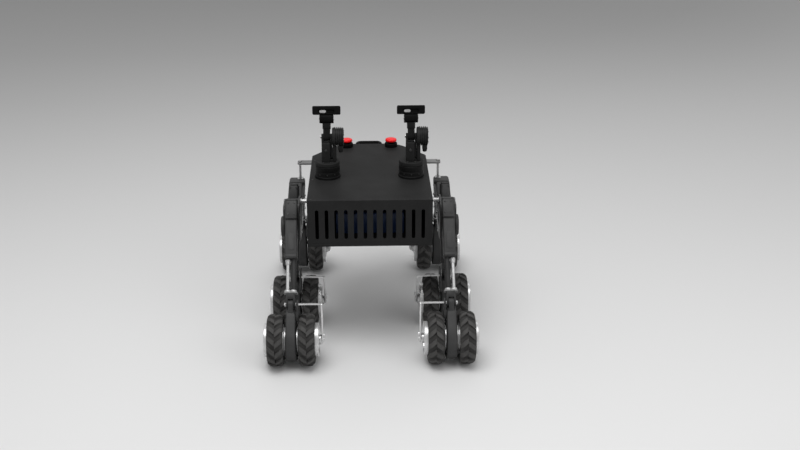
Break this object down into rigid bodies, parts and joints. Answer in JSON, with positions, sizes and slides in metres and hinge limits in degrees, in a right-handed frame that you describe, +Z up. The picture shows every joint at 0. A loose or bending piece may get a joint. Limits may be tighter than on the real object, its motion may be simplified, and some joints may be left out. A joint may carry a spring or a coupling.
{
  "type": "rover chassis",
  "caption": "Rover chassis: a vented box body with short arms on deck, carried by rocker side frames with telescopic struts, twin tyres and stop buttons.",
  "frame": {"origin": "on the floor under the middle of the wheelbase, centred left to right", "axes": "+Z up, -Y to the vented front, +X to the right of the body; +Y is the long way"},
  "size_m": [0.6686, 0.897, 0.7395],
  "materials": {
    "black_paint": "satin powder coat",
    "dark_metal": "dark anodised, fine satin",
    "bright_metal": "machined, bright",
    "tyre_rubber": "matt, with block tread",
    "black_plastic": "moulded, fine grain",
    "red_plastic": "gloss",
    "battery_wrap": "shrink wrap",
    "controller_case": "ribbed extrusion"
  },
  "bodies": {
    "chassis": {"body_shell": "black_paint", "bottom_tray": "black_paint", "battery_pack": "battery_wrap", "drive_controller": "controller_case", "rear_handle": "black_plastic", "left_arm_base": "black_paint", "right_arm_base": "black_paint"},
    "differential_bar": {"differential_bar": "bright_metal"},
    "left_rocker": {"left_side_frame": "dark_metal", "front_left_strut_tube": "dark_metal", "middle_left_strut_tube": "dark_metal", "rear_left_strut_tube": "dark_metal"},
    "front_left_slider": {"front_left_strut_rods": "bright_metal", "front_left_drive_case": "dark_metal", "front_left_axle_bracket": "bright_metal"},
    "front_left_wheels": {"front_left_outer_tyre": "tyre_rubber", "front_left_inner_tyre": "tyre_rubber", "front_left_rims_and_axle": "bright_metal"},
    "middle_left_slider": {"middle_left_strut_rods": "bright_metal", "middle_left_drive_case": "dark_metal", "middle_left_axle_bracket": "bright_metal"},
    "middle_left_wheels": {"middle_left_outer_tyre": "tyre_rubber", "middle_left_inner_tyre": "tyre_rubber", "middle_left_rims_and_axle": "bright_metal"},
    "rear_left_slider": {"rear_left_strut_rods": "bright_metal", "rear_left_drive_case": "dark_metal", "rear_left_axle_bracket": "bright_metal"},
    "rear_left_wheels": {"rear_left_outer_tyre": "tyre_rubber", "rear_left_inner_tyre": "tyre_rubber", "rear_left_rims_and_axle": "bright_metal"},
    "left_stop_button": {"left_stop_button": "red_plastic"},
    "left_arm_turret": {"left_arm_turret": "dark_metal"},
    "left_arm_forearm": {"left_arm_forearm": "dark_metal"},
    "left_arm_head": {"left_arm_head": "black_plastic"},
    "right_rocker": {"right_side_frame": "dark_metal", "front_right_strut_tube": "dark_metal", "middle_right_strut_tube": "dark_metal", "rear_right_strut_tube": "dark_metal"},
    "front_right_slider": {"front_right_strut_rods": "bright_metal", "front_right_drive_case": "dark_metal", "front_right_axle_bracket": "bright_metal"},
    "front_right_wheels": {"front_right_outer_tyre": "tyre_rubber", "front_right_inner_tyre": "tyre_rubber", "front_right_rims_and_axle": "bright_metal"},
    "middle_right_slider": {"middle_right_strut_rods": "bright_metal", "middle_right_drive_case": "dark_metal", "middle_right_axle_bracket": "bright_metal"},
    "middle_right_wheels": {"middle_right_outer_tyre": "tyre_rubber", "middle_right_inner_tyre": "tyre_rubber", "middle_right_rims_and_axle": "bright_metal"},
    "rear_right_slider": {"rear_right_strut_rods": "bright_metal", "rear_right_drive_case": "dark_metal", "rear_right_axle_bracket": "bright_metal"},
    "rear_right_wheels": {"rear_right_outer_tyre": "tyre_rubber", "rear_right_inner_tyre": "tyre_rubber", "rear_right_rims_and_axle": "bright_metal"},
    "right_stop_button": {"right_stop_button": "red_plastic"},
    "right_arm_turret": {"right_arm_turret": "dark_metal"},
    "right_arm_forearm": {"right_arm_forearm": "dark_metal"},
    "right_arm_head": {"right_arm_head": "black_plastic"}
  },
  "joints": [
    {"name": "left_rocker_pivot", "type": "hinge", "parent": "chassis", "child": "left_rocker", "pos_m": [-0.205, -0.1, 0.446], "axis": [1, 0, 0], "range_deg": [-4, 4]},
    {"name": "front_left_strut", "type": "slide", "parent": "left_rocker", "child": "front_left_slider", "axis": [0, 0.6499, 0.76], "range_m": [-0.015, 0.03], "stiffness_N_per_m": 12000, "springref_m": -0.005},
    {"name": "front_left_spin", "type": "hinge", "parent": "front_left_slider", "child": "front_left_wheels", "pos_m": [-0.25, -0.366, 0.0825], "axis": [1, 0, 0], "continuous": true},
    {"name": "middle_left_strut", "type": "slide", "parent": "left_rocker", "child": "middle_left_slider", "axis": [0, 0.4088, 0.9126], "range_m": [-0.015, 0.03], "stiffness_N_per_m": 12000, "springref_m": -0.005},
    {"name": "middle_left_spin", "type": "hinge", "parent": "middle_left_slider", "child": "middle_left_wheels", "pos_m": [-0.25, -0.0775, 0.0825], "axis": [1, 0, 0], "continuous": true},
    {"name": "rear_left_strut", "type": "slide", "parent": "left_rocker", "child": "rear_left_slider", "axis": [0, -0.7401, 0.6725], "range_m": [-0.015, 0.03], "stiffness_N_per_m": 12000, "springref_m": -0.005},
    {"name": "rear_left_spin", "type": "hinge", "parent": "rear_left_slider", "child": "rear_left_wheels", "pos_m": [-0.25, 0.366, 0.0825], "axis": [1, 0, 0], "continuous": true},
    {"name": "left_stop_press", "type": "slide", "parent": "chassis", "child": "left_stop_button", "axis": [0, 0, -1], "range_m": [0, 0.003], "stiffness_N_per_m": 1500, "springref_m": -0.001},
    {"name": "left_arm_swivel", "type": "hinge", "parent": "chassis", "child": "left_arm_turret", "pos_m": [-0.136, -0.038, 0.5498], "axis": [0, 0, 1], "range_deg": [-90, 90]},
    {"name": "left_arm_elbow", "type": "hinge", "parent": "left_arm_turret", "child": "left_arm_forearm", "pos_m": [-0.136, -0.038, 0.643], "axis": [1, 0, 0], "range_deg": [-40, 50]},
    {"name": "left_arm_wrist", "type": "hinge", "parent": "left_arm_forearm", "child": "left_arm_head", "pos_m": [-0.136, -0.038, 0.643], "axis": [0, 0.342, 0.9397], "range_deg": [-90, 90]},
    {"name": "right_rocker_pivot", "type": "hinge", "parent": "chassis", "child": "right_rocker", "pos_m": [0.205, -0.1, 0.446], "axis": [1, 0, 0], "range_deg": [-4, 4]},
    {"name": "front_right_strut", "type": "slide", "parent": "right_rocker", "child": "front_right_slider", "axis": [0, 0.6499, 0.76], "range_m": [-0.015, 0.03], "stiffness_N_per_m": 12000, "springref_m": -0.005},
    {"name": "front_right_spin", "type": "hinge", "parent": "front_right_slider", "child": "front_right_wheels", "pos_m": [0.25, -0.366, 0.0825], "axis": [1, 0, 0], "continuous": true},
    {"name": "middle_right_strut", "type": "slide", "parent": "right_rocker", "child": "middle_right_slider", "axis": [0, 0.4088, 0.9126], "range_m": [-0.015, 0.03], "stiffness_N_per_m": 12000, "springref_m": -0.005},
    {"name": "middle_right_spin", "type": "hinge", "parent": "middle_right_slider", "child": "middle_right_wheels", "pos_m": [0.25, -0.0775, 0.0825], "axis": [1, 0, 0], "continuous": true},
    {"name": "rear_right_strut", "type": "slide", "parent": "right_rocker", "child": "rear_right_slider", "axis": [0, -0.7401, 0.6725], "range_m": [-0.015, 0.03], "stiffness_N_per_m": 12000, "springref_m": -0.005},
    {"name": "rear_right_spin", "type": "hinge", "parent": "rear_right_slider", "child": "rear_right_wheels", "pos_m": [0.25, 0.366, 0.0825], "axis": [1, 0, 0], "continuous": true},
    {"name": "right_stop_press", "type": "slide", "parent": "chassis", "child": "right_stop_button", "axis": [0, 0, -1], "range_m": [0, 0.003], "stiffness_N_per_m": 1500, "springref_m": -0.001},
    {"name": "right_arm_swivel", "type": "hinge", "parent": "chassis", "child": "right_arm_turret", "pos_m": [0.136, -0.038, 0.5498], "axis": [0, 0, 1], "range_deg": [-90, 90]},
    {"name": "right_arm_elbow", "type": "hinge", "parent": "right_arm_turret", "child": "right_arm_forearm", "pos_m": [0.136, -0.038, 0.643], "axis": [1, 0, 0], "range_deg": [-40, 50]},
    {"name": "right_arm_wrist", "type": "hinge", "parent": "right_arm_forearm", "child": "right_arm_head", "pos_m": [0.136, -0.038, 0.643], "axis": [0, 0.342, 0.9397], "range_deg": [-90, 90]},
    {"name": "differential_rock", "type": "hinge", "parent": "chassis", "child": "differential_bar", "pos_m": [0, 0.176, 0.484], "axis": [0, 1, 0], "range_deg": [-4.7, 4.7]}
  ],
  "couplings": [
    {"joint": "right_rocker_pivot", "follows": "left_rocker_pivot", "ratio": -1},
    {"joint": "differential_rock", "follows": "left_rocker_pivot", "ratio": 1.1597}
  ]
}
